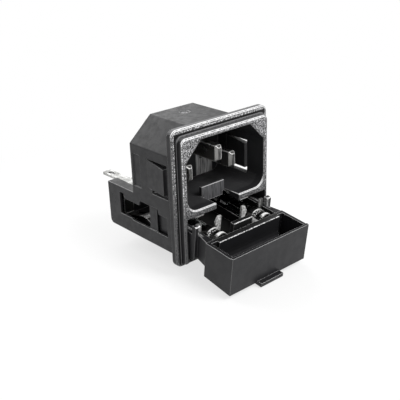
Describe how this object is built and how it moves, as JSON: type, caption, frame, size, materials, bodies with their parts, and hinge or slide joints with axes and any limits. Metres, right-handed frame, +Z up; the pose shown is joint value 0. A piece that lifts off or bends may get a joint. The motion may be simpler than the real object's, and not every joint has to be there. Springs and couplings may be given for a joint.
{
  "type": "power entry module with fuse drawer",
  "caption": "Snap-in appliance inlet with earth and power pins above a pull-out drawer for two glass tube fuses, drawer shown open.",
  "frame": {"origin": "on the flange's back face, the face that lies on the panel: mid-width, halfway up the border above the shroud", "axes": "-Y points out of the front of the panel, +X to the right seen from the front, +Z up towards the earth pin"},
  "size_m": [0.0304, 0.0532, 0.0369],
  "materials": {
    "black_nylon": "moulded, fine texture",
    "drawer_nylon": "moulded, smooth",
    "rear_plate_black": "moulded, matt",
    "nickel_plated_brass": "nickel plated, satin",
    "tinned_brass": "tin plated",
    "fuse_cap_nickel": "nickel plated, bright",
    "fuse_clip_nickel": "nickel plated, satin",
    "fuse_glass": "clear",
    "fuse_wire_tinned": "tinned wire"
  },
  "bodies": {
    "inlet": {"housing": "black_nylon", "rear_plate": "rear_plate_black", "earth_pin": "nickel_plated_brass", "left_power_pin": "nickel_plated_brass", "right_power_pin": "nickel_plated_brass", "left_front_contact": "tinned_brass", "right_front_contact": "tinned_brass", "left_rear_contact": "tinned_brass", "right_rear_contact": "tinned_brass", "left_solder_tab": "tinned_brass", "right_solder_tab": "tinned_brass"},
    "drawer": {"fuse_drawer": "drawer_nylon", "left_fuse_clip": "fuse_clip_nickel", "right_fuse_clip": "fuse_clip_nickel", "left_fuse_front_cap": "fuse_cap_nickel", "left_fuse_rear_cap": "fuse_cap_nickel", "left_fuse_tube": "fuse_glass", "left_fuse_wire": "fuse_wire_tinned", "right_fuse_front_cap": "fuse_cap_nickel", "right_fuse_rear_cap": "fuse_cap_nickel", "right_fuse_tube": "fuse_glass", "right_fuse_wire": "fuse_wire_tinned"}
  },
  "joints": [
    {"name": "drawer_travel", "type": "hinge", "parent": "inlet", "child": "drawer", "pos_m": [0, 0.02, -0.1404], "axis": [1, 0, 0], "range_deg": [-7.2, 0]}
  ]
}
